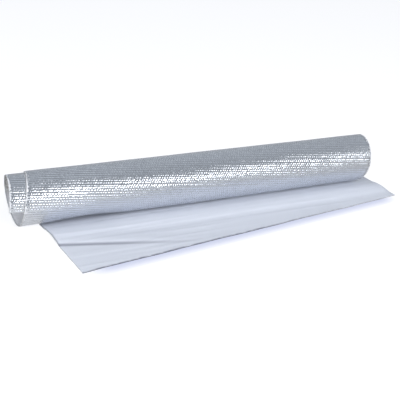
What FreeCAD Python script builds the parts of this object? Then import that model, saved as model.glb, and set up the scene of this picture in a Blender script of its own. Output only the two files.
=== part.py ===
"""Self-adhesive aluminised glass-cloth heat shield, as sold: one square sheet, loosely rolled up.

The sheet is foil-faced woven glass cloth with an adhesive back, and a paper release liner covers that
back. It was started slightly off square, so its side edges climb along the roll like a screw thread
and the inner turn stands out at the left end. The first stretch is unrolled and lies on the floor
with its foil face down.

Frame: +X along the roll's axis, to the right of someone who faces the unrolled tail; the tail
points to -Y; +Z is up. The origin is on the floor, at the middle of the bounding box.

How it is built: the flat rectangle is laid out on a developed plane (x along the roll's axis, b the
unrolled distance square to it), turned by the skew. The roll's section is a chain of strips, each
flat or one arc, that follow b. Each strip takes its piece of the rectangle and wraps it on its own
plane or cylinder. Depth is measured through the sheet, from the foil face towards the liner.
"""

import FreeCAD
import Part
import math
import os

from FreeCAD import Base, Vector

# Driving dimensions, in millimetres and degrees
SHEET_WIDTH = 610.0         # across the roll, 24 in
SHEET_LENGTH = 610.0        # in the rolled direction, 24 in
CLOTH_THICKNESS = 1.2       # foil, glass cloth and adhesive
LINER_THICKNESS = 0.15      # paper release liner
SKEW = 7.15                 # between the sheet's front edge and the roll's axis
ROLL_DIAMETER = 83.6        # over the outer turn
TAIL_AT_LEFT = 158.5        # front left corner to the roll's line on the floor, square to the axis
TURN_CLEARANCE = 0.2        # under a turn, where it rests on the turn or tail below
TOP_CLEARANCE = 0.65        # between two turns at the top, where the inner one has sagged
WAVE_HEIGHT = 3.0           # low wave that the tail keeps in front of the roll
WAVE_LENGTH = 62.0
WAVE_GAP = 14.0             # flat stretch between that wave and the roll's line on the floor

SEWING_TOLERANCE = 0.001
SAME_DIRECTION = 1          # a ruled surface joins the starts of its two edges, and their ends


class Strip:
    """A stretch of the roll's section, straight or one arc. It starts at b_start, at (y, z) of the
    foil face, and its heading there is an angle from +Y towards +Z. An arc's curl is +1 towards the
    liner side and -1 away from it."""

    def __init__(self, b_start, start, heading, length, radius=None, curl=1):
        self.b_start = b_start
        self.b_end = b_start + length
        self.start = start
        self.heading = heading
        self.radius = radius
        self.curl = curl

    def heading_at(self, b):
        if self.radius is None:
            return self.heading
        return self.heading + self.curl * (b - self.b_start) / self.radius

    def inward(self, b):
        """Unit vector through the sheet at b, from the foil face to the liner."""
        heading = self.heading_at(b)
        return Vector(0, -math.sin(heading), math.cos(heading))

    def centre(self):
        return Vector(0, *self.start) + self.inward(self.b_start) * (self.curl * self.radius)

    def point(self, x, b, depth):
        """The place in the rolled sheet of a point of the developed plane."""
        if self.radius is None:
            travel = b - self.b_start
            along = Vector(x, travel * math.cos(self.heading), travel * math.sin(self.heading))
            return Vector(0, *self.start) + along + self.inward(b) * depth
        return self.centre() + self.inward(b) * (depth - self.curl * self.radius) + Vector(x, 0, 0)

    def cylinder(self, depth):
        """This arc's cylinder at a depth. Its parameters are the angle from the strip's start, and x."""
        profile = Part.Circle(self.centre(), Vector(self.curl, 0, 0), self.radius - self.curl * depth)
        profile.XAxis = self.inward(self.b_start) * -self.curl
        return Part.SurfaceOfExtrusion(profile, Vector(1, 0, 0))

    def wrapped_edges(self, outline, depth):
        """The edges of an outline on the developed plane, wrapped on this strip."""
        if self.radius is None:
            points = [self.point(x, b, depth) for x, b in outline]
            return [Part.makeLine(p, q) for p, q in zip(points, points[1:] + points[:1])]
        surface = self.cylinder(depth)
        edges = []
        for ends in zip(outline, outline[1:] + outline[:1]):
            start, end = (Base.Vector2d((b - self.b_start) / self.radius, x) for x, b in ends)
            edges.append(Part.Geom2d.Line2dSegment(start, end).toShape(surface))
        return edges

    def wrapped_face(self, edges, depth):
        if self.radius is None:
            return Part.Face(Part.Wire(edges))
        face = Part.Face(self.cylinder(depth), Part.Wire(edges))
        face.fix(SEWING_TOLERANCE, SEWING_TOLERANCE, SEWING_TOLERANCE)
        return face


def sheet_corners():
    """The flat sheet on the developed plane: front left, front right, inner right, inner left."""
    skew = math.radians(SKEW)
    across = (SHEET_WIDTH * math.cos(skew), SHEET_WIDTH * math.sin(skew))
    along = (-SHEET_LENGTH * math.sin(skew), SHEET_LENGTH * math.cos(skew))
    both = (across[0] + along[0], across[1] + along[1])
    return [(0.0, 0.0), across, both, along]


def section_sizes():
    """Length, radius and curl of each strip, from the tail's front to beyond the sheet's inner end."""
    # four equal arcs make the wave: up, over its crest, and down again
    slope = 2 * math.atan(2 * WAVE_HEIGHT / WAVE_LENGTH)
    wave_radius = WAVE_LENGTH / (4 * math.sin(slope))
    wave_arc = wave_radius * slope
    sizes = [(TAIL_AT_LEFT - WAVE_GAP - 4 * wave_arc, None, 1)]
    sizes += [(wave_arc, wave_radius, curl) for curl in (1, -1, -1, 1)]
    sizes += [(WAVE_GAP, None, 1)]
    # half turns, up at the back and down at the front, each turn resting on the layer under it
    thickness = CLOTH_THICKNESS + LINER_THICKNESS
    rise, fall = thickness + TURN_CLEARANCE, thickness + TOP_CLEARANCE
    low, high = 0.0, ROLL_DIAMETER
    unrolled = TAIL_AT_LEFT
    needed = max(b for x, b in sheet_corners())
    rising = True
    while unrolled < needed:
        radius = (high - low) / 2
        sizes.append((math.pi * radius, radius, 1))
        unrolled += math.pi * radius
        low, high = (low + rise, high) if rising else (low, high - fall)
        rising = not rising
    return sizes


def section_strips():
    strips = []
    b_start, start, heading = 0.0, (-TAIL_AT_LEFT, 0.0), 0.0
    for length, radius, curl in section_sizes():
        strip = Strip(b_start, start, heading, length, radius, curl)
        strips.append(strip)
        end = strip.point(0.0, strip.b_end, 0.0)
        b_start, start, heading = strip.b_end, (end.y, end.z), strip.heading_at(strip.b_end)
    return strips


def cut_at(outline, limit, keep_sign):
    """The part of a convex outline where keep_sign * (b - limit) is positive."""
    kept = []
    for (x0, b0), (x1, b1) in zip(outline, outline[1:] + outline[:1]):
        side0, side1 = keep_sign * (b0 - limit), keep_sign * (b1 - limit)
        if side0 >= 0:
            kept.append((x0, b0))
        if side0 * side1 < 0:
            share = side0 / (side0 - side1)
            kept.append((x0 + share * (x1 - x0), limit))
    return kept


def is_joint(edge_ends, strip):
    """True for an edge that this strip shares with the one before or after it."""
    return any(all(abs(b - limit) < SEWING_TOLERANCE for x, b in edge_ends)
               for limit in (strip.b_start, strip.b_end))


def rolled_layer(strips, outer_depth, inner_depth):
    """One layer of the rolled sheet, between two depths, as a solid."""
    faces = []
    for strip in strips:
        outline = cut_at(cut_at(sheet_corners(), strip.b_start, 1), strip.b_end, -1)
        if len(outline) < 3:
            continue
        outer = strip.wrapped_edges(outline, outer_depth)
        inner = strip.wrapped_edges(outline, inner_depth)
        faces.append(strip.wrapped_face(outer, outer_depth))
        faces.append(strip.wrapped_face(inner, inner_depth))
        for ends, outer_edge, inner_edge in zip(zip(outline, outline[1:] + outline[:1]), outer, inner):
            if not is_joint(ends, strip):
                faces.append(Part.makeRuledSurface(outer_edge, inner_edge, SAME_DIRECTION))
    shell = Part.makeCompound(faces)
    shell.sewShape(SEWING_TOLERANCE)
    solid = Part.makeSolid(shell.Shells[0])
    if solid.Volume < 0:
        solid.reverse()
    return solid


def main():
    os.makedirs("parts", exist_ok=True)
    strips = section_strips()
    liner_face = CLOTH_THICKNESS + LINER_THICKNESS
    layers = {
        "heat_shield_sheet": rolled_layer(strips, 0.0, CLOTH_THICKNESS),
        "release_liner": rolled_layer(strips, CLOTH_THICKNESS, liner_face),
    }
    box = Part.makeCompound(list(layers.values())).optimalBoundingBox(False, False)
    to_origin = Vector(-box.Center.x, -box.Center.y, -box.ZMin)
    for name, solid in layers.items():
        solid.translate(to_origin)
        solid.exportStep(f"parts/{name}.step")
        print(name, "valid", solid.isValid(), "volume", round(solid.Volume, 1), "faces", len(solid.Faces))
    print("roll's line on the floor at y", round(to_origin.y, 3))


main()
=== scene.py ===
"""The looks of a rolled-up, self-adhesive aluminised glass-cloth heat shield sheet.

One square sheet, foil face out, is rolled loosely and a little askew, and its first stretch lies
unrolled with the pale release liner up. Both layers are worked out on the flat sheet and wrapped:

- u runs across the sheet from its left side, and v from its front edge towards its inner end;
- x runs along the roll's axis and b is the unrolled distance square to it, so (x, b) is (u, v)
  turned by the skew;
- depth is measured through the sheet, from the foil face towards the liner.

Everything is in metres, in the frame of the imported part.
"""

import math

import bpy
import numpy as np
from mathutils import Matrix, Vector


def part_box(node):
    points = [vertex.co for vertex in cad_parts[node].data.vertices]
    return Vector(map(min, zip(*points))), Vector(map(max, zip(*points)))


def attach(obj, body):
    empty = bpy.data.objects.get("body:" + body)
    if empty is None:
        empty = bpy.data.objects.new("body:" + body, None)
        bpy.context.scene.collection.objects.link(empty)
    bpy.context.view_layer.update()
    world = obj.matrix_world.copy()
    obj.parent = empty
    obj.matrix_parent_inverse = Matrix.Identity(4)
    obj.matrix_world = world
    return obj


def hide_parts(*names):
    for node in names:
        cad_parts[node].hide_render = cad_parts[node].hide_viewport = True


# The sheet, as it is sold
SHEET_WIDTH = 0.610
SHEET_LENGTH = 0.610
CLOTH_THICKNESS = 0.0012
LINER_THICKNESS = 0.00015
LINER_GAP = 0.00002            # keeps the liner's back off the adhesive
ROW_PITCH = 0.00436            # between the thick yarns, which run across the sheet
PILLOW_PITCH = 0.0040          # between the foil's pillows along one yarn
ROW_RELIEF = 0.00014           # from a yarn's crest to the valley beside it

# How it is rolled
SKEW = math.radians(7.15)
TAIL_AT_LEFT = 0.1585          # front left corner to the roll's line on the floor
TURN_CLEARANCE = 0.0002
TOP_CLEARANCE = 0.00065
WAVE_HEIGHT = 0.003
WAVE_LENGTH = 0.062
WAVE_GAP = 0.014

# The crease across the tail's left corner, where it meets the side and the front edge
CREASE_ON_SIDE = 0.080
CREASE_ON_FRONT = 0.222
CREASE_STEEPNESS = math.hypot(1 / CREASE_ON_FRONT, 1 / CREASE_ON_SIDE)
BULGE_HEIGHT = 0.0024
BULGE_REACH = 0.012
BULGE_FADE = (0.08, 0.23)      # where it dies out, along the front edge
EDGE_CURL = 0.0014             # how far the front edge lifts off the floor
EDGE_CURL_REACH = 0.014
TAIL_FADE = (0.10, 0.14)       # where bulge and curl end, unrolled

# Where the lower front of the roll's outside is pressed in, near the left end, and how far
DENT_DEPTH = 0.0038
DENT_ALONG = 0.050             # from the tail's left corner, along the roll
DENT_UNROLLED = 0.402
DENT_SPREAD_ALONG = 0.035
DENT_SPREAD_UNROLLED = 0.017

# How far the inner turn has slid back into the roll, and the outer turn's left side bows out in front
INNER_SLIP = 0.0035
SLIP_RANGE = (0.36, 0.60)      # unrolled
SIDE_BOW = 0.0060
SIDE_BOW_UNROLLED = 0.355
SIDE_BOW_SPREAD = 0.035
SIDE_BOW_REACH = 0.06          # from the side inwards

# The roll's slight unevenness: a height, and two waves as lengths along the roll and unrolled
SWAY_HEIGHT = 0.00016
LONG_SWAY = (0.19, 0.31)
ROUND_SWAY = (0.47, 0.083)

# How hard each row of the weave is pressed, and how that changes along it
ROW_LOUDNESS = (0.72, 1.0)
PRESS_SHARE = 0.08
PRESS_LENGTH = 0.11

# The liner's wrinkles, as ranges: place and fade unrolled, then the sizes of one wrinkle
WRINKLE_COUNT = 34
WRINKLE_RANGE = (0.01, 0.15)
WRINKLE_FADE = (0.145, 0.157)
WRINKLE_WIDTHS = (0.0012, 0.0030)
WRINKLE_HEIGHTS = (0.00008, 0.00042)
WRINKLE_LENGTHS = (0.03, 0.14)

# The frayed ends of yarn
THREADS_PER_ROW = 3
THREAD_RADIUS = 0.00016
THREAD_TAPER = 0.75
THREAD_REACH = 0.00045         # half the mean length that stands out
THREAD_REACH_LIMITS = (0.0002, 0.0035)

# Meshing
STEPS_PER_ROW = 4
FOIL_STEPS_ACROSS = 84
LINER_STEPS_ACROSS = 200
LINER_FINE_STEP = 0.0013
LINER_COARSE_STEP = 0.0052
LINER_FINE_PAST_TAIL = 0.012

# Camera
AIM = Vector((-0.007, 0.055, 0.0))
CAMERA_DISTANCE = 1.390
CAMERA_YAW = 0.5047
CAMERA_PITCH = 0.4800
CAMERA_ROLL = 0.1123
LENS = 74.94

# Lamps: name, bearing, elevation, distance, size, radiance, and whether the foil mirrors them
LAMPS = [
    ("front_strip", 27, 27, 2.2, (2.4, 0.60), 1.9, True),
    ("left_strip", 12, 27, 2.1, (0.60, 0.60), 3.2, True),
    ("front_fill", 5, 38, 2.4, (2.4, 1.1), 3.3, False),
    ("left_fill", -68, 26, 2.2, (1.2, 0.9), 4.0, False),
    ("overhead", -10, 70, 2.2, (1.8, 1.2), 0.8, False),
]

# Colours
# FOIL_SHADED is painted shade, mixed in where the foil dips between yarns
FOIL_LIT, FOIL_SHADED = (0.83, 0.855, 0.90, 1), (0.29, 0.305, 0.345, 1)
BARE_GLASS = (0.84, 0.86, 0.91, 1)
CUT_DARK, CUT_PALE = (0.34, 0.34, 0.34, 1), (0.95, 0.95, 0.94, 1)
# Painted shade for the cut along the sheet's front edge
FRONT_RIM_SHADE = (0.07, 0.08, 0.12, 1)
THREAD_DARK, THREAD_PALE = (0.66, 0.66, 0.65, 1), (0.92, 0.92, 0.92, 1)
ADHESIVE_DARK, ADHESIVE_PALE = (0.58, 0.58, 0.55, 1), (0.70, 0.70, 0.67, 1)
PAPER_DARK, PAPER_PALE = (0.62, 0.655, 0.74, 1), (0.67, 0.705, 0.79, 1)
# Painted light for the paper seen inside the left opening
PAPER_LIT_IN_OPENING = (0.90, 0.92, 0.98, 1)
PAPER_FLECK, PAPER_INSIDE = (0.50, 0.495, 0.475, 1), (0.92, 0.92, 0.90, 1)
# Painted shade for the crease's dark line
PAPER_CREASE_SHADE = (0.24, 0.25, 0.31, 1)
# Painted shade for the liner's front and left edges
PAPER_EDGE_SHADE = (0.10, 0.115, 0.16, 1)
# Painted shade for where the liner runs in under the roll
PAPER_SHADE_UNDER_ROLL = (0.22, 0.23, 0.28, 1)
# FLOOR_SHADED and FLOOR_GLOW_SHADED are the painted shadow along the sheet's front edge
FLOOR_LIT, FLOOR_SHADED = (0.30, 0.30, 0.30, 1), (0.18, 0.19, 0.23, 1)
FLOOR_GLOW, FLOOR_GLOW_SHADED = (0.96, 0.97, 1.0, 1), (0.58, 0.61, 0.76, 1)
SKY_LIGHT, SKY_SEEN = (0.885, 0.945, 1.02, 1), (1, 1, 1, 1)

rng = np.random.default_rng(24)


# ---------------------------------------------------------------- the rolled shape

def section_bends(diameter, needed):
    """Length and curvature of each stretch of the roll's section, from the tail's front inwards: a
    flat front, four equal arcs that make the wave, a flat gap, then half turns whose diameters
    shrink by the sheet and its clearance."""
    slope = 2 * math.atan(2 * WAVE_HEIGHT / WAVE_LENGTH)
    wave_radius = WAVE_LENGTH / (4 * math.sin(slope))
    wave_arc = wave_radius * slope
    bends = [(TAIL_AT_LEFT - WAVE_GAP - 4 * wave_arc, 0.0)]
    bends += [(wave_arc, curl / wave_radius) for curl in (1, -1, -1, 1)]
    bends += [(WAVE_GAP, 0.0)]
    thickness = CLOTH_THICKNESS + LINER_THICKNESS
    low, high, rising = 0.0, diameter, True
    while sum(length for length, curvature in bends) < needed:
        radius = (high - low) / 2
        bends.append((math.pi * radius, 1 / radius))
        if rising:
            low += thickness + TURN_CLEARANCE
        else:
            high -= thickness + TOP_CLEARANCE
        rising = not rising
    return np.array(bends)


class RolledSheet:
    """Wraps points of the flat sheet on to the roll."""

    def __init__(self, low, high):
        self.x_start = low.x + SHEET_LENGTH * math.sin(SKEW)
        needed = SHEET_WIDTH * math.sin(SKEW) + SHEET_LENGTH * math.cos(SKEW)
        self.lengths, self.curvatures = section_bends(high.z - low.z, needed).T
        self.starts = np.concatenate([[0.0], np.cumsum(self.lengths)])
        self.headings = np.concatenate([[0.0], np.cumsum(self.lengths * self.curvatures)])
        y_steps, z_steps = self.chord(self.lengths, self.curvatures, self.headings[:-1])
        self.ys = low.y + np.concatenate([[0.0], np.cumsum(y_steps)])
        self.zs = low.z + np.concatenate([[0.0], np.cumsum(z_steps)])

    @staticmethod
    def chord(travel, curvature, heading):
        """The way in y and z along an arc: its chord is travel * sin(t) / t long, with t half the
        turn, and it heads half the turn past the start. A flat stretch is an arc of no turn."""
        half_turn = travel * curvature / 2
        reach = travel * np.sinc(half_turn / math.pi)
        return reach * np.cos(heading + half_turn), reach * np.sin(heading + half_turn)

    @staticmethod
    def developed(u, v):
        """(x, b) of a point of the flat sheet: (u, v) turned by the skew."""
        return u * math.cos(SKEW) - v * math.sin(SKEW), u * math.sin(SKEW) + v * math.cos(SKEW)

    def place(self, u, v, depth):
        """Points in the frame: the foil face's place at (x, b), moved inwards by the depth."""
        x, b = self.developed(u, v)
        x = x + INNER_SLIP * fade(b, *SLIP_RANGE)
        off_bow = (b - SIDE_BOW_UNROLLED) / SIDE_BOW_SPREAD
        x = x - SIDE_BOW * np.exp(-off_bow ** 2 / 2 - u.clip(0) / SIDE_BOW_REACH)
        stretch = np.clip(np.searchsorted(self.starts, b, side="right") - 1, 0, len(self.lengths) - 1)
        travel = b - self.starts[stretch]
        heading = self.headings[stretch]
        y_way, z_way = self.chord(travel, self.curvatures[stretch], heading)
        heading = heading + travel * self.curvatures[stretch]
        y = self.ys[stretch] + y_way - depth * np.sin(heading)
        z = self.zs[stretch] + z_way + depth * np.cos(heading)
        return np.stack([self.x_start + x, y, z], axis=-1)


def fade(value, start, end):
    """0 before start, 1 after end, with a smooth s-curve 3t^2 - 2t^3 between them."""
    t = np.clip((value - start) / (end - start), 0, 1)
    return t * t * (3 - 2 * t)


def behind_crease(u, v):
    """Distance behind the crease line u / front + v / side = 1, of arrays or of shader numbers."""
    return (u / CREASE_ON_FRONT + v / CREASE_ON_SIDE - 1) / CREASE_STEEPNESS


def tail_lift(u, v):
    """How far both layers of the tail stand off the plain wrapped shape. Behind the crease a bulge
    of t * exp(1 - t) rises, with t the distance over its reach, and fades towards the front edge.
    The front edge curls up as exp(-v), more and less along its length."""
    b = RolledSheet.developed(u, v)[1]
    t = np.clip(behind_crease(u, v), 0, None) / BULGE_REACH
    bulge = BULGE_HEIGHT * t * np.exp(1 - t) * (1 - fade(u, *BULGE_FADE))
    uneven = 0.6 + 0.25 * np.sin(u / 0.031 + 1.0) + 0.15 * np.sin(u / 0.0117)
    curl = EDGE_CURL * uneven * np.exp(-v.clip(0) / EDGE_CURL_REACH) * fade(u, 0.0, 0.05)
    return (bulge + curl) * (1 - fade(b, *TAIL_FADE))


def lowest_lift_near(u, v, reach_u, reach_v):
    """The least lift within a step either way, which a sparse grid needs to stay under the liner."""
    nearby = [tail_lift(u + across * reach_u, v + along * reach_v)
              for across in (-1, 0, 1) for along in (-1, 0, 1)]
    return np.min(nearby, axis=0)


def roll_sway(u, v):
    """How far the rolled part lies inside its plain shape: a shallow product of sines, and a dent,
    a bell curve both ways."""
    x, b = RolledSheet.developed(u, v)
    long_wave = np.sin(2 * math.pi * (x / LONG_SWAY[0] + b / LONG_SWAY[1]))
    round_wave = np.sin(2 * math.pi * (b / ROUND_SWAY[1] - x / ROUND_SWAY[0]))
    sway = SWAY_HEIGHT * (1 + long_wave * round_wave) * fade(b, TAIL_AT_LEFT, TAIL_AT_LEFT + 0.03)
    off_along = (x - DENT_ALONG) / DENT_SPREAD_ALONG
    off_round = (b - DENT_UNROLLED) / DENT_SPREAD_UNROLLED
    return DENT_DEPTH * np.exp(-(off_along ** 2 + off_round ** 2) / 2) + sway


def bell_ridges(x, b, count, b_range, widths, heights, lengths):
    """Ridges parallel to the roll's axis: each is a bell curve across b times a longer one along x,
    about a line that leans a little."""
    relief = np.zeros_like(x)
    for _ in range(count):
        b_middle = rng.uniform(*b_range)
        x_middle = rng.uniform(-0.02, SHEET_WIDTH)
        lean = rng.normal(0, 0.02)
        across = (b - b_middle - lean * (x - x_middle)) / rng.uniform(*widths)
        along = (x - x_middle) / rng.uniform(*lengths)
        relief += rng.uniform(*heights) * np.exp(-(across ** 2 + along ** 2) / 2)
    return relief


# ---------------------------------------------------------------- meshes

def sheet_mesh(name, u, v, outer, inner, skip_v, skip_u, materials):
    """A closed thin sheet between an outer grid and a sparser inner one. The inner grid is every
    skip_v-th line along and skip_u-th across, so that each rim face joins one inner edge to the
    outer edges over it. The UV map is (u, v) in metres."""
    rows, columns = outer.shape[:2]
    outer_index = np.arange(rows * columns).reshape(rows, columns)
    inner_index = rows * columns + np.arange(inner[..., 0].size).reshape(inner.shape[:2])

    def quads(index):
        corners = [index[:-1, :-1], index[:-1, 1:], index[1:, 1:], index[1:, :-1]]
        return np.stack(corners, axis=-1).reshape(-1, 4)

    def rim(outer_edge, inner_edge, skip):
        return [[*inner_edge[i:i + 2][::-1], *outer_edge[i * skip:(i + 1) * skip + 1]]
                for i in range(len(inner_edge) - 1)]

    outer_faces = quads(outer_index)[:, ::-1].tolist()
    inner_faces = quads(inner_index).tolist()
    rim_faces = rim(outer_index[0], inner_index[0], skip_u)
    rim_faces += rim(outer_index[:, -1], inner_index[:, -1], skip_v)
    rim_faces += rim(outer_index[-1, ::-1], inner_index[-1, ::-1], skip_u)
    rim_faces += rim(outer_index[::-1, 0], inner_index[::-1, 0], skip_v)

    mesh = bpy.data.meshes.new(name)
    points = np.concatenate([outer.reshape(-1, 3), inner.reshape(-1, 3)])
    mesh.from_pydata(points.tolist(), [], outer_faces + inner_faces + rim_faces)
    counts = [len(outer_faces), len(inner_faces), len(rim_faces)]
    mesh.polygons.foreach_set("material_index", np.repeat([0, 1, 2], counts))
    mesh.polygons.foreach_set("use_smooth", np.repeat([True, True, False], counts))
    flat_u, flat_v = np.meshgrid(u, v)
    flat = np.concatenate([
        np.stack([flat_u, flat_v], axis=-1).reshape(-1, 2),
        np.stack([flat_u, flat_v], axis=-1)[::skip_v, ::skip_u].reshape(-1, 2),
    ])
    corner_points = np.empty(len(mesh.loops), dtype=np.int32)
    mesh.loops.foreach_get("vertex_index", corner_points)
    uv_map = mesh.uv_layers.new(name="sheet")
    uv_map.data.foreach_set("uv", flat[corner_points].ravel().astype(np.float32))
    for material in materials:
        mesh.materials.append(material)
    mesh.update()
    piece = bpy.data.objects.new(name, mesh)
    bpy.context.scene.collection.objects.link(piece)
    return piece


def foil_faced_cloth(roll, materials):
    """The foil face follows the yarns under it: its depth is the relief times 1 - |sin(pi v / pitch)|,
    and each yarn is pressed a little more or less along its length."""
    row_count = round(SHEET_LENGTH / ROW_PITCH)
    u = np.linspace(0, SHEET_WIDTH, FOIL_STEPS_ACROSS + 1)
    v = np.linspace(0, SHEET_LENGTH, row_count * STEPS_PER_ROW + 1)
    flat_u, flat_v = np.meshgrid(u, v)
    row = np.minimum((flat_v / SHEET_LENGTH * row_count).astype(int), row_count - 1)
    loudness = rng.uniform(*ROW_LOUDNESS, row_count)[row]
    phase = rng.uniform(0, 2 * math.pi, row_count)[row]
    pressing = np.sin(2 * math.pi * flat_u / PRESS_LENGTH + phase)
    loudness = loudness * (1 - PRESS_SHARE + PRESS_SHARE * pressing)
    ridge = np.abs(np.sin(math.pi * flat_v / SHEET_LENGTH * row_count))
    lift = tail_lift(flat_u, flat_v) + roll_sway(flat_u, flat_v)
    outer = roll.place(flat_u, flat_v, lift + ROW_RELIEF * (1 - ridge * loudness))
    inner_u, inner_v = flat_u[::STEPS_PER_ROW, ::2], flat_v[::STEPS_PER_ROW, ::2]
    inner_lift = lift[::STEPS_PER_ROW, ::2].copy()
    middle = (slice(1, -1), slice(1, -1))
    hidden_u, hidden_v = inner_u[middle], inner_v[middle]
    inner_lift[middle] = lowest_lift_near(hidden_u, hidden_v, 2 * u[1], ROW_PITCH)
    inner_lift[middle] += roll_sway(hidden_u, hidden_v)
    inner = roll.place(inner_u, inner_v, inner_lift + CLOTH_THICKNESS)
    return sheet_mesh("foil_faced_glass_cloth", u, v, outer, inner, STEPS_PER_ROW, 2, materials)


def release_liner(roll, materials):
    """Thin paper on the cloth's adhesive side, with long wrinkles parallel to the roll's axis."""
    u = np.linspace(0, SHEET_WIDTH, LINER_STEPS_ACROSS + 1)
    fine = np.arange(0, TAIL_AT_LEFT + LINER_FINE_PAST_TAIL, LINER_FINE_STEP)
    coarse_count = round((SHEET_LENGTH - fine[-1]) / LINER_COARSE_STEP)
    v = np.concatenate([fine, np.linspace(fine[-1], SHEET_LENGTH, coarse_count + 1)[1:]])
    flat_u, flat_v = np.meshgrid(u, v)
    x, b = RolledSheet.developed(flat_u, flat_v)
    lift = tail_lift(flat_u, flat_v) + roll_sway(flat_u, flat_v)
    wrinkles = bell_ridges(x, b, WRINKLE_COUNT, WRINKLE_RANGE, WRINKLE_WIDTHS, WRINKLE_HEIGHTS,
                           WRINKLE_LENGTHS)
    wrinkles *= 1 - fade(b, *WRINKLE_FADE)
    back = roll.place(flat_u, flat_v, lift + CLOTH_THICKNESS + LINER_GAP)
    face = roll.place(flat_u, flat_v, lift + wrinkles + CLOTH_THICKNESS + LINER_GAP + LINER_THICKNESS)
    return sheet_mesh("release_liner_paper", u, v, back, face, 1, 1, materials)


def frayed_threads(roll, material):
    """Glass yarn ends at both cut sides: each is a three-sided taper along a bent line,
    u0 + reach t, with t from 0 to 1, that strays in v and depth as t squared."""
    row_count = round(SHEET_LENGTH / ROW_PITCH)
    per_side = THREADS_PER_ROW * row_count
    count = 2 * per_side
    left = np.arange(count) < per_side
    v0 = np.tile((np.arange(per_side) + rng.uniform(0.1, 0.9, per_side)) * SHEET_LENGTH / per_side, 2)
    depth0 = rng.uniform(0.3, 0.8, count) * CLOTH_THICKNESS
    reach = rng.gamma(2.0, THREAD_REACH, count).clip(*THREAD_REACH_LIMITS)
    stray_v, stray_depth = rng.normal(0, 0.7, count) * reach, rng.normal(0, 0.35, count) * reach
    stray_depth = np.maximum(stray_depth, 0.0001 - depth0)
    steps, sides = np.array([-0.3, 0.5, 0.95]), np.arange(3) * 2 * math.pi / 3
    t, angle = np.meshgrid(steps, sides, indexing="ij")
    radius = THREAD_RADIUS * (1 - THREAD_TAPER * t.clip(0, 1))

    def spread(values):
        return values[:, None, None]

    u = np.where(spread(left), -spread(reach) * t, SHEET_WIDTH + spread(reach) * t)
    v = spread(v0) + spread(stray_v) * t ** 2 + radius * np.cos(angle)
    depth = spread(depth0) + spread(stray_depth) * t ** 2 + radius * np.sin(angle)
    lift = tail_lift(u.clip(0, SHEET_WIDTH), v) + roll_sway(u, v)
    points = roll.place(u, v, depth + lift).reshape(-1, 3)
    ring = np.array([[0, 1, 4, 3], [1, 2, 5, 4], [2, 0, 3, 5]])
    walls = np.concatenate([ring, ring + 3])
    starts = 9 * np.arange(count)
    faces = (walls[None] + starts[:, None, None]).reshape(-1, 4).tolist()
    faces += (np.array([[2, 1, 0]]) + starts[:, None]).tolist()
    faces += (np.array([[6, 7, 8]]) + starts[:, None]).tolist()
    mesh = bpy.data.meshes.new("frayed_glass_threads")
    mesh.from_pydata(points.tolist(), [], faces)
    mesh.materials.append(material)
    mesh.update()
    piece = bpy.data.objects.new("frayed_glass_threads", mesh)
    bpy.context.scene.collection.objects.link(piece)
    return piece


# ---------------------------------------------------------------- shader maths

class Number:
    """A number socket of a node tree. Each operator on it adds one Math node."""

    def __init__(self, shader, socket):
        self.shader = shader
        self.socket = socket

    def __add__(self, other):
        return self.shader.math("ADD", self, other)

    def __sub__(self, other):
        return self.shader.math("SUBTRACT", self, other)

    def __rsub__(self, other):
        return self.shader.math("SUBTRACT", other, self)

    def __mul__(self, other):
        return self.shader.math("MULTIPLY", self, other)

    def __truediv__(self, other):
        return self.shader.math("DIVIDE", self, other)

    __radd__ = __add__
    __rmul__ = __mul__


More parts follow.
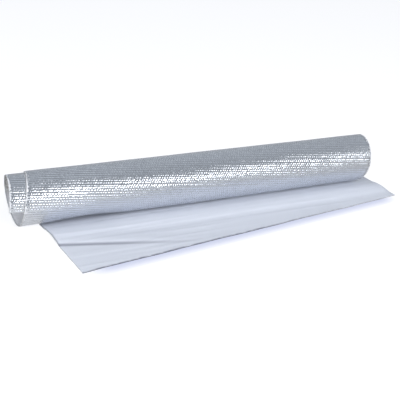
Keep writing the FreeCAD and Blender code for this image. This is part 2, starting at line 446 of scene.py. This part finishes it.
class Shader:
    """Builds one node tree, of a material or the world."""

    def __init__(self, owner):
        owner.use_nodes = True
        self.owner = owner
        self.tree = owner.node_tree
        self.tree.nodes.clear()

    def node(self, kind, settings=None, inputs=None):
        """Adds a node, sets its settings, then fills its sockets with values or links."""
        node = self.tree.nodes.new("ShaderNode" + kind)
        for name, value in (settings or {}).items():
            setattr(node, name, value)
        for name, value in (inputs or {}).items():
            if isinstance(value, Number):
                value = value.socket
            if isinstance(value, bpy.types.NodeSocket):
                self.tree.links.new(value, node.inputs[name])
            else:
                node.inputs[name].default_value = value
        return node

    def math(self, operation, *values):
        node = self.node("Math", {"operation": operation}, dict(enumerate(values)))
        return Number(self, node.outputs[0])

    def between(self, value, low, high):
        """0 where the value is at low, 1 where it is at high, smoothly."""
        settings = {"interpolation_type": "SMOOTHSTEP"}
        node = self.node("MapRange", settings, {"Value": value, "From Min": low, "From Max": high})
        return Number(self, node.outputs["Result"])

    def noise(self, coordinates, scale, detail=2.0, stretch=(1, 1, 1)):
        """Noise from 0 to 1, with the coordinates stretched first."""
        stretched = self.node("VectorMath", {"operation": "MULTIPLY"}, {0: coordinates, 1: stretch})
        inputs = {"Vector": stretched.outputs[0], "Scale": scale, "Detail": detail}
        return Number(self, self.node("TexNoise", {}, inputs).outputs[0])

    def mix_colour(self, share, first, second):
        node = self.node("Mix", {"data_type": "RGBA"}, {0: share, 6: first, 7: second})
        return node.outputs[2]

    def sheet_coordinates(self):
        """The flat sheet's (u, v) as a vector, and as two numbers."""
        uv = self.node("UVMap", {"uv_map": "sheet"}).outputs[0]
        parts = self.node("SeparateXYZ", {}, {0: uv})
        return uv, Number(self, parts.outputs[0]), Number(self, parts.outputs[1])

    def chances(self, first, second):
        """Three random numbers from 0 to 1 for each pair of whole numbers."""
        pair = self.node("CombineXYZ", {}, {0: first, 1: second}).outputs[0]
        random_colour = self.node("TexWhiteNoise", {}, {"Vector": pair}).outputs["Color"]
        parts = self.node("SeparateXYZ", {}, {0: random_colour})
        return [Number(self, output) for output in parts.outputs]

    def flat_topped(self, steps):
        """The slope of a row of pillows, one per step: each has a flat top and steep sides, falling
        as the cube of the way from its middle."""
        way = self.math("FRACT", steps) * 2 - 1
        return 0 - way * way * way

    def sloped(self, slope_u, slope_v):
        """A normal from the rise of the surface along u and along v."""
        packed = self.node("CombineXYZ", {}, {0: 0.5 - slope_u * 0.5, 1: 0.5 - slope_v * 0.5, 2: 1.0})
        inputs = {"Color": packed.outputs[0]}
        return self.node("NormalMap", {"uv_map": "sheet"}, inputs).outputs[0]

    def bumped(self, height, normal=None):
        """A normal from a height in metres."""
        inputs = {"Distance": 1.0, "Height": height}
        if normal:
            inputs["Normal"] = normal
        return self.node("Bump", {}, inputs).outputs[0]

    def finish(self, shader_socket, kind="OutputMaterial"):
        self.node(kind, {}, {"Surface": shader_socket})
        return self.owner


def new_shader(name):
    return Shader(bpy.data.materials.new(name))


def aluminium_foil():
    """Bright foil pressed on the weave: pillows along each yarn, fine crinkles, and at the cut
    sides a ragged strip where the foil has flaked off the white glass."""
    s = new_shader("aluminium_foil_on_weave")
    uv, u, v = s.sheet_coordinates()
    row = v / ROW_PITCH
    odd_row = s.math("GREATER_THAN", s.math("FRACT", row * 0.5), 0.5)
    along = u / PILLOW_PITCH + odd_row * 0.5 + s.noise(uv, 25.0)
    row_number = s.math("FLOOR", row)
    tilt_u, tilt_v, tone = s.chances(s.math("FLOOR", along), row_number)
    row_tilt = s.chances(0.0, row_number)[0]
    from_left = s.between(u, 0.06, 0.18)
    loudness = 1.25 - from_left * 0.55 + s.between(u, 0.35, 0.55) * 0.20
    slope_u = s.flat_topped(along) * (0.50 + from_left * 0.85) + (tilt_u - 0.5) * (0.18 + from_left * 0.22)
    slope_v = s.flat_topped(row) * loudness * 0.46 + (tilt_v - 0.5) * 0.12 + (row_tilt - 0.5) * 0.16
    crinkle = s.noise(uv, 380.0, 2.0)
    strain = s.noise(uv, 90.0, 2.0, (0.25, 1.0, 1.0))
    normal = s.bumped(crinkle * 0.00006 + strain * 0.00008, s.sloped(slope_u, slope_v))

    edge = s.math("MINIMUM", u, SHEET_WIDTH - u)
    ragged = s.noise(uv, 300.0, 2.0) - 0.3
    bare = s.between(ragged * 0.0125 - edge, 0.0, 0.0008)
    dull = s.noise(uv, 30.0, 4.0, (0.5, 1.0, 1.0))
    # Painted shade: the foil's colour darkens in the valleys between yarns, more at the left end; tone and
    # dull add random tone per pillow and a blotchy mottle.
    valley = 1 - s.math("ABSOLUTE", s.math("SINE", row * math.pi))
    depth = 0.42 - from_left * 0.20
    shade = valley * valley * depth + tone * 0.10 + (1 - dull) * 0.14
    colour = s.mix_colour(shade, FOIL_LIT, FOIL_SHADED)
    colour = s.mix_colour(bare, colour, BARE_GLASS)
    roughness = 0.13 + dull * 0.12 + bare * 0.35
    inputs = {"Base Color": colour, "Metallic": 1 - bare * 0.9, "Roughness": roughness,
              "Normal": normal}
    return s.finish(s.node("BsdfPrincipled", {}, inputs).outputs[0])


def cut_glass_cloth():
    """The cut through the white glass cloth: fibre bundles, slightly yellowed by the adhesive. Along the
    sheet's front edge it is painted darker, as shade, less so towards the right."""
    s = new_shader("cut_glass_cloth")
    uv, u, v = s.sheet_coordinates()
    bundles = s.noise(uv, 420.0, 2.0)
    colour = s.mix_colour(s.between(bundles, 0.3, 0.6), CUT_DARK, CUT_PALE)
    # Painted shade along the front edge's cut, about half as dark towards the right
    front = (1 - s.between(v, 0.0, ROW_PITCH)) * (0.95 - s.between(u, 0.25, 0.60) * 0.5)
    colour = s.mix_colour(front, colour, FRONT_RIM_SHADE)
    inputs = {"Base Color": colour, "Roughness": 0.7, "Normal": s.bumped(bundles * 0.0004)}
    return s.finish(s.node("BsdfPrincipled", {}, inputs).outputs[0])


def glass_thread():
    s = new_shader("glass_thread")
    coordinates = s.node("TexCoord").outputs["Object"]
    shade = s.noise(coordinates, 300.0)
    colour = s.mix_colour(shade, THREAD_DARK, THREAD_PALE)
    inputs = {"Base Color": colour, "Roughness": 0.35 + shade * 0.2}
    return s.finish(s.node("BsdfPrincipled", {}, inputs).outputs[0])


def adhesive():
    s = new_shader("clear_adhesive_on_cloth")
    tone = s.noise(s.sheet_coordinates()[0], 40.0)
    colour = s.mix_colour(tone, ADHESIVE_DARK, ADHESIVE_PALE)
    inputs = {"Base Color": colour, "Roughness": 0.3 + tone * 0.2}
    return s.finish(s.node("BsdfPrincipled", {}, inputs).outputs[0])


def liner_paper():
    """Smooth pale blue-grey paper: long faint streaks along the roll, painted shade on the crease, along
    the front and left edges and in a strip where it runs in under the roll, and painted light on its
    inside behind the left opening. It is flecked on the inmost turn."""
    s = new_shader("silicone_coated_paper")
    uv, u, v = s.sheet_coordinates()
    turned = s.node("Mapping", {}, {"Vector": uv, "Rotation": (0, 0, SKEW)}).outputs[0]
    streaks = s.noise(turned, 160.0, 3.0, (0.035, 1.0, 1.0))
    folds = s.noise(turned, 55.0, 2.0, (0.06, 1.0, 1.0))
    mottle = s.noise(uv, 14.0, 3.0)
    height = streaks * 0.00022 + folds * 0.00042

    # Painted shade: a dark line along the crease, fading out towards the right.
    off_crease = s.math("ABSOLUTE", behind_crease(u, v))
    mark = (1 - s.between(off_crease, 0.0, 0.0055)) * (1 - s.between(u, 0.06, 0.24))
    # Painted shade along the front edge, broken up by noise and weaker towards the right, and along the
    # left side further back.
    edge_shade_breakup = s.between(s.noise(uv, 60.0, 2.0), 0.25, 0.6)
    front_edge_shade = (1 - s.between(v, 0.0004, 0.0030)) * (1 - s.between(u, 0.25, 0.60) * 0.8) * edge_shade_breakup
    left_edge_shade = (1 - s.between(u, 0.0004, 0.0030)) * s.between(v, 0.07, 0.09) * 0.7
    b = u * math.sin(SKEW) + v * math.cos(SKEW)
    # Painted shade in a strip up to where the liner runs in under the roll, darker at the left end.
    shade_under_roll = s.between(b, TAIL_AT_LEFT - 0.026, TAIL_AT_LEFT - 0.010)
    shade_under_roll = shade_under_roll * (1 - s.between(b, TAIL_AT_LEFT, TAIL_AT_LEFT + 0.008))
    shade_under_roll = shade_under_roll * (0.50 - s.between(u, 0.09, 0.15) * 0.25)
    flecks = s.between(s.noise(uv, 330.0, 2.0), 0.40, 0.58)
    inside = s.mix_colour(flecks * (1 - s.between(u, 0.02, 0.06)), PAPER_FLECK, PAPER_INSIDE)
    colour = s.mix_colour(mottle, PAPER_DARK, PAPER_PALE)
    # Painted light: the paper on the roll's inside near the left opening is made paler.
    behind_opening = s.between(v, 0.160, 0.175) * (1 - s.between(u, 0.02, 0.05))
    colour = s.mix_colour(behind_opening, colour, PAPER_LIT_IN_OPENING)
    colour = s.mix_colour(s.between(v, 0.46, 0.50), colour, inside)
    colour = s.mix_colour(mark * 0.9, colour, PAPER_CREASE_SHADE)
    colour = s.mix_colour(s.math("MAXIMUM", front_edge_shade, left_edge_shade) * 0.8, colour, PAPER_EDGE_SHADE)
    colour = s.mix_colour(shade_under_roll, colour, PAPER_SHADE_UNDER_ROLL)
    inputs = {"Base Color": colour, "Roughness": 0.42 + streaks * 0.15,
              "Normal": s.bumped(height)}
    return s.finish(s.node("BsdfPrincipled", {}, inputs).outputs[0])


# ---------------------------------------------------------------- floor, light and camera

def white_floor(front_left):
    """A floor that looks white straight on and pale in reflections, more so beside the sheet's left end,
    and still takes soft shadows. A soft lavender shadow is painted on it along the sheet's front edge."""
    s = new_shader("white_floor")
    path = s.node("LightPath")
    parts = s.node("SeparateXYZ", {}, {0: s.node("TexCoord").outputs["Object"]})
    x, y = Number(s, parts.outputs[0]) - front_left.x, Number(s, parts.outputs[1]) - front_left.y
    ahead = x * math.sin(SKEW) - y * math.cos(SKEW)
    along = x * math.cos(SKEW) + y * math.sin(SKEW)
    beside = 1 - s.between(along, -0.03, 0.06)
    seen_in_foil = Number(s, path.outputs["Is Glossy Ray"]) * (0.34 + beside * 0.16)
    seen = Number(s, path.outputs["Is Camera Ray"]) * 0.84 + seen_in_foil
    ends = s.between(along, -0.01, 0.05) * (1 - s.between(along, SHEET_WIDTH - 0.04, SHEET_WIDTH + 0.01))
    # Painted shadow: a lavender band on the floor just in front of the sheet's front edge, in both its
    # colour and its glow.
    shadow = s.between(ahead, -0.03, 0.0) * (1 - s.between(ahead, 0.0, 0.026)) * ends
    reflected = s.mix_colour(shadow, FLOOR_LIT, FLOOR_SHADED)
    glowing = s.mix_colour(shadow, FLOOR_GLOW, FLOOR_GLOW_SHADED)
    diffuse = s.node("BsdfDiffuse", {}, {"Color": reflected})
    glow = s.node("Emission", {}, {"Color": glowing, "Strength": seen})
    both = s.node("AddShader", {}, {0: diffuse.outputs[0], 1: glow.outputs[0]})
    material = s.finish(both.outputs[0])
    half, level = 4.0, front_left.z
    corners = [(-half, -half, level), (half, -half, level), (half, half, level), (-half, half, level)]
    mesh = bpy.data.meshes.new("floor")
    mesh.from_pydata(corners, [], [(0, 1, 2, 3)])
    mesh.materials.append(material)
    floor = bpy.data.objects.new("floor", mesh)
    bpy.context.scene.collection.objects.link(floor)


def studio_world():
    """White all round for the camera, even for diffuse light, and for reflections uneven from left
    to right, with a dim patch high in front."""
    world = bpy.data.worlds.new("studio")
    bpy.context.scene.world = world
    s = Shader(world)
    path = s.node("LightPath")
    direction = s.node("TexCoord").outputs["Generated"]
    parts = s.node("SeparateXYZ", {}, {0: direction})
    side, back, height = [Number(s, output) for output in parts.outputs]
    high_in_front = s.between(height, 0.30, 0.62) * (1 - s.between(back, -0.30, 0.15))
    across = s.between(side, 0.24, 0.34) * 0.15 - s.between(side, 0.36, 0.52) * 0.12
    mirrored = 0.49 + across - high_in_front * 0.13
    glossy = Number(s, path.outputs["Is Glossy Ray"])
    camera = Number(s, path.outputs["Is Camera Ray"])
    strength = glossy * mirrored + camera * 0.92 + (1 - glossy - camera) * 0.26
    colour = s.mix_colour(camera, SKY_LIGHT, SKY_SEEN)
    background = s.node("Background", {}, {"Color": colour, "Strength": strength})
    s.finish(background.outputs[0], "OutputWorld")


def softbox(centre, name, bearing, elevation, distance, size, radiance, mirrored):
    """A rectangular lamp that faces the object. The bearing is in degrees from -Y towards +X. One
    that isn't mirrored only lights matt surfaces."""
    turn, rise = math.radians(bearing), math.radians(elevation)
    way = Vector((math.sin(turn) * math.cos(rise), -math.cos(turn) * math.cos(rise), math.sin(rise)))
    lamp = bpy.data.lights.new(name, "AREA")
    lamp.shape = "RECTANGLE"
    lamp.size, lamp.size_y = size
    lamp.energy = 4 * size[0] * size[1] * radiance
    lamp_object = bpy.data.objects.new(name, lamp)
    lamp_object.location = centre + way * distance
    lamp_object.visible_glossy = mirrored
    lamp_object.rotation_mode = "QUATERNION"
    lamp_object.rotation_quaternion = (-way).to_track_quat("-Z", "Y")
    bpy.context.scene.collection.objects.link(lamp_object)


def place_camera():
    forward = Vector((math.sin(CAMERA_YAW) * math.cos(CAMERA_PITCH),
                      math.cos(CAMERA_YAW) * math.cos(CAMERA_PITCH), -math.sin(CAMERA_PITCH)))
    right = forward.cross(Vector((0, 0, 1))).normalized()
    up = right.cross(forward)
    camera_x = right * math.cos(CAMERA_ROLL) + up * math.sin(CAMERA_ROLL)
    camera_y = up * math.cos(CAMERA_ROLL) - right * math.sin(CAMERA_ROLL)
    lens = bpy.data.cameras.new("camera")
    lens.lens = LENS
    camera = bpy.data.objects.new("camera", lens)
    axes = Matrix((camera_x, camera_y, -forward)).transposed()
    camera.matrix_world = Matrix.Translation(AIM - forward * CAMERA_DISTANCE) @ axes.to_4x4()
    bpy.context.scene.collection.objects.link(camera)
    bpy.context.scene.camera = camera


# ---------------------------------------------------------------- the scene

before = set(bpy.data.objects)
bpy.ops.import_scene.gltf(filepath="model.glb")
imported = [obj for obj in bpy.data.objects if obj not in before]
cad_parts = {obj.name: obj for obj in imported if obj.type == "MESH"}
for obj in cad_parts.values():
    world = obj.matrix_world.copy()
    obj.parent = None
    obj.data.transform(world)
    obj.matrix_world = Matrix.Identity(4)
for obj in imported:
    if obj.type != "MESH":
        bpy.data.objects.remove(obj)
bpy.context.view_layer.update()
low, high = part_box("heat_shield_sheet")
roll = RolledSheet(low, high)

cloth = foil_faced_cloth(roll, [aluminium_foil(), adhesive(), cut_glass_cloth()])
liner = release_liner(roll, [liner_paper()] * 3)
threads = frayed_threads(roll, glass_thread())

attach(cloth, "root")
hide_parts("heat_shield_sheet")
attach(liner, "root")
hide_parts("release_liner")
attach(threads, "root")

centre = (low + high) / 2
white_floor(Vector((roll.x_start, low.y, low.z)))
studio_world()
for lamp in LAMPS:
    softbox(centre, *lamp)
place_camera()
bpy.context.scene.view_settings.view_transform = "Standard"
